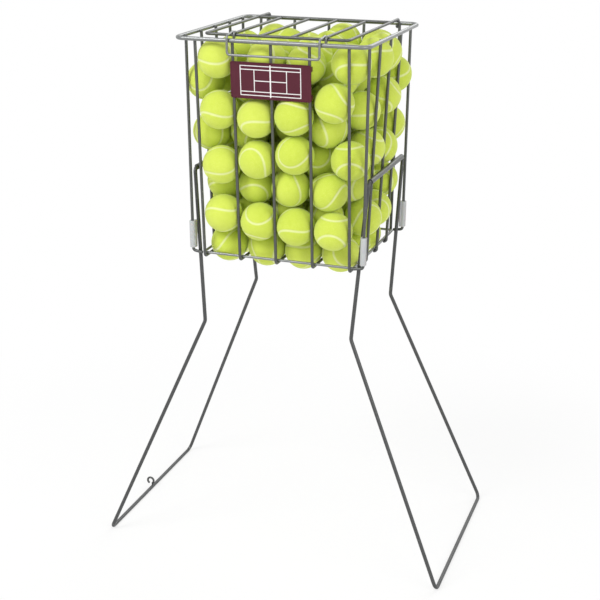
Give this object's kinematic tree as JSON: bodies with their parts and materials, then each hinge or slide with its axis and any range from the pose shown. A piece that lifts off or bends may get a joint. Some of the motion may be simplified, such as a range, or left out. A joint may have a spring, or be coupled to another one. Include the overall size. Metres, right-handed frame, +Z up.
{
  "type": "tennis ball hopper",
  "caption": "Wire basket on fold-over wire legs that double as carrying handles, with a hinged wire lid, a drop latch and a full load of tennis balls.",
  "frame": {"origin": "on the ground, under the middle of the bounding box", "axes": "+Z up, +X along the front towards the right leg, +Y from the front with the name plate to the back with the lid's hinge"},
  "size_m": [0.6487, 0.3636, 0.9425],
  "materials": {
    "bright_wire": "satin silver-grey powder coat",
    "dark_wire": "satin gunmetal powder coat",
    "leg_wire": "satin gunmetal powder coat",
    "clip_plastic": "light grey moulded plastic",
    "plate_plastic": null,
    "ball_felt": "optic yellow felt with pale seams"
  },
  "bodies": {
    "basket": {"top_rim": "bright_wire", "floor_rail": "bright_wire", "basket_wire_1": "dark_wire", "basket_wire_2": "dark_wire", "basket_wire_3": "dark_wire", "basket_wire_4": "dark_wire", "basket_wire_5": "dark_wire", "left_side_wire_1": "dark_wire", "left_side_wire_2": "dark_wire", "left_side_wire_3": "dark_wire", "left_side_wire_4": "dark_wire", "left_side_wire_5": "dark_wire", "right_side_wire_1": "dark_wire", "right_side_wire_2": "dark_wire", "right_side_wire_3": "dark_wire", "right_side_wire_4": "dark_wire", "right_side_wire_5": "dark_wire", "left_pivot_tube": "dark_wire", "right_pivot_tube": "dark_wire", "right_front_clip": "clip_plastic", "right_rear_clip": "clip_plastic", "left_front_clip": "clip_plastic", "left_rear_clip": "clip_plastic", "name_plate": "plate_plastic", "balls_1": "ball_felt", "balls_2": "ball_felt", "balls_3": "ball_felt", "balls_4": "ball_felt", "balls_5": "ball_felt", "balls_6": "ball_felt", "balls_7": "ball_felt"},
    "left_leg": {"left_leg": "leg_wire", "grip_hook": "leg_wire"},
    "right_leg": {"right_leg": "leg_wire"},
    "lid": {"lid_frame": "dark_wire", "lid_rear_bar": "dark_wire", "lid_bar_1": "dark_wire", "lid_bar_2": "dark_wire", "lid_bar_3": "dark_wire", "lid_bar_4": "dark_wire"},
    "latch": {"lid_bail": "bright_wire"}
  },
  "joints": [
    {"name": "left_leg_hinge", "type": "hinge", "parent": "basket", "child": "left_leg", "pos_m": [-0.15119, 0, 0.701], "axis": [0, 1, 0], "range_deg": [0, 179.2]},
    {"name": "right_leg_hinge", "type": "hinge", "parent": "basket", "child": "right_leg", "pos_m": [0.16155, 0, 0.701], "axis": [0, -1, 0], "range_deg": [0, 179.2]},
    {"name": "lid_hinge", "type": "hinge", "parent": "basket", "child": "lid", "pos_m": [0.00858, 0.156, 0.929], "axis": [-1, 0, 0], "range_deg": [0, 220]},
    {"name": "latch_hinge", "type": "hinge", "parent": "lid", "child": "latch", "pos_m": [0.01358, -0.136, 0.9355], "axis": [-1, 0, 0], "range_deg": [0, 150]}
  ]
}
